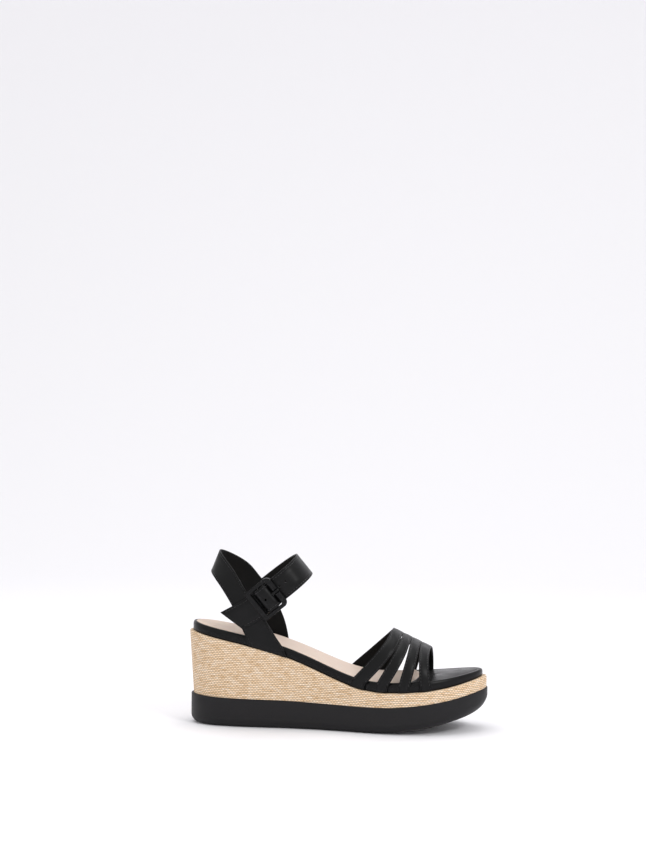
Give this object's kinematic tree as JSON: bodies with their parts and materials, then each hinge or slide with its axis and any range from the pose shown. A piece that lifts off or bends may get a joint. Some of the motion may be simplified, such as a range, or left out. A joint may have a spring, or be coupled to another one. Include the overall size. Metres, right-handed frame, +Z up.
{
  "type": "wedge sandal",
  "caption": "Open-toe wedge sandal on a thick platform, with narrow fanned vamp straps, a heel sling and a buckled ankle strap.",
  "frame": {"origin": "on the ground under the middle of the sandal's outline", "axes": "+X from heel to toe, -Y to the outer side with the buckle, +Z up"},
  "size_m": [0.2498, 0.086, 0.1446],
  "materials": {
    "outsole_rubber": "matte moulded",
    "wedge_foam": "cut foam",
    "raffia": "woven raffia",
    "filler_foam": "cut foam",
    "spring_steel": "rolled",
    "fibreboard": "pressed fibre",
    "black_leather": "smooth, semi-matt",
    "lining_leather": "smooth, matt",
    "sock_leather": "soft, matt",
    "buckle_enamel": "gloss black"
  },
  "bodies": {
    "sandal": {"platform_sole": "outsole_rubber", "wedge_core": "wedge_foam", "raffia_wrap": "raffia", "lasting_filler": "filler_foam", "steel_shank": "spring_steel", "shank_rivets": "spring_steel", "heel_nails": "spring_steel", "insole_board": "fibreboard", "footbed_foam": "filler_foam", "footbed_cover": "black_leather", "sock_lining": "sock_leather", "sling_strap": "black_leather", "sling_lining": "lining_leather", "ankle_strap": "black_leather", "ankle_lining": "lining_leather", "buckle_tab": "black_leather", "vamp_strap_1": "black_leather", "vamp_lining_1": "lining_leather", "vamp_strap_2": "black_leather", "vamp_lining_2": "lining_leather", "vamp_strap_3": "black_leather", "vamp_lining_3": "lining_leather", "vamp_strap_4": "black_leather", "vamp_lining_4": "lining_leather"},
    "buckle": {"buckle_frame": "buckle_enamel", "buckle_bar": "buckle_enamel"},
    "prong": {"buckle_prong": "buckle_enamel"},
    "strap_tail": {"ankle_strap_tail": "black_leather", "ankle_tail_lining": "lining_leather"}
  },
  "joints": [
    {"name": "buckle_swing", "type": "hinge", "parent": "sandal", "child": "buckle", "pos_m": [-0.05383, -0.03292, 0.1076], "axis": [-0.6256, -0.108, 0.7726], "range_deg": [-3.5, 3.5]},
    {"name": "prong_lift", "type": "hinge", "parent": "buckle", "child": "prong", "pos_m": [-0.05383, -0.03292, 0.1076], "axis": [0.6256, 0.108, -0.7726], "range_deg": [0, 6]},
    {"name": "tail_lift", "type": "hinge", "parent": "sandal", "child": "strap_tail", "pos_m": [-0.06558, -0.03163, 0.09827], "axis": [-0.6256, -0.108, 0.7726], "range_deg": [0, 45], "stiffness_Nm_per_rad": 0.01}
  ]
}
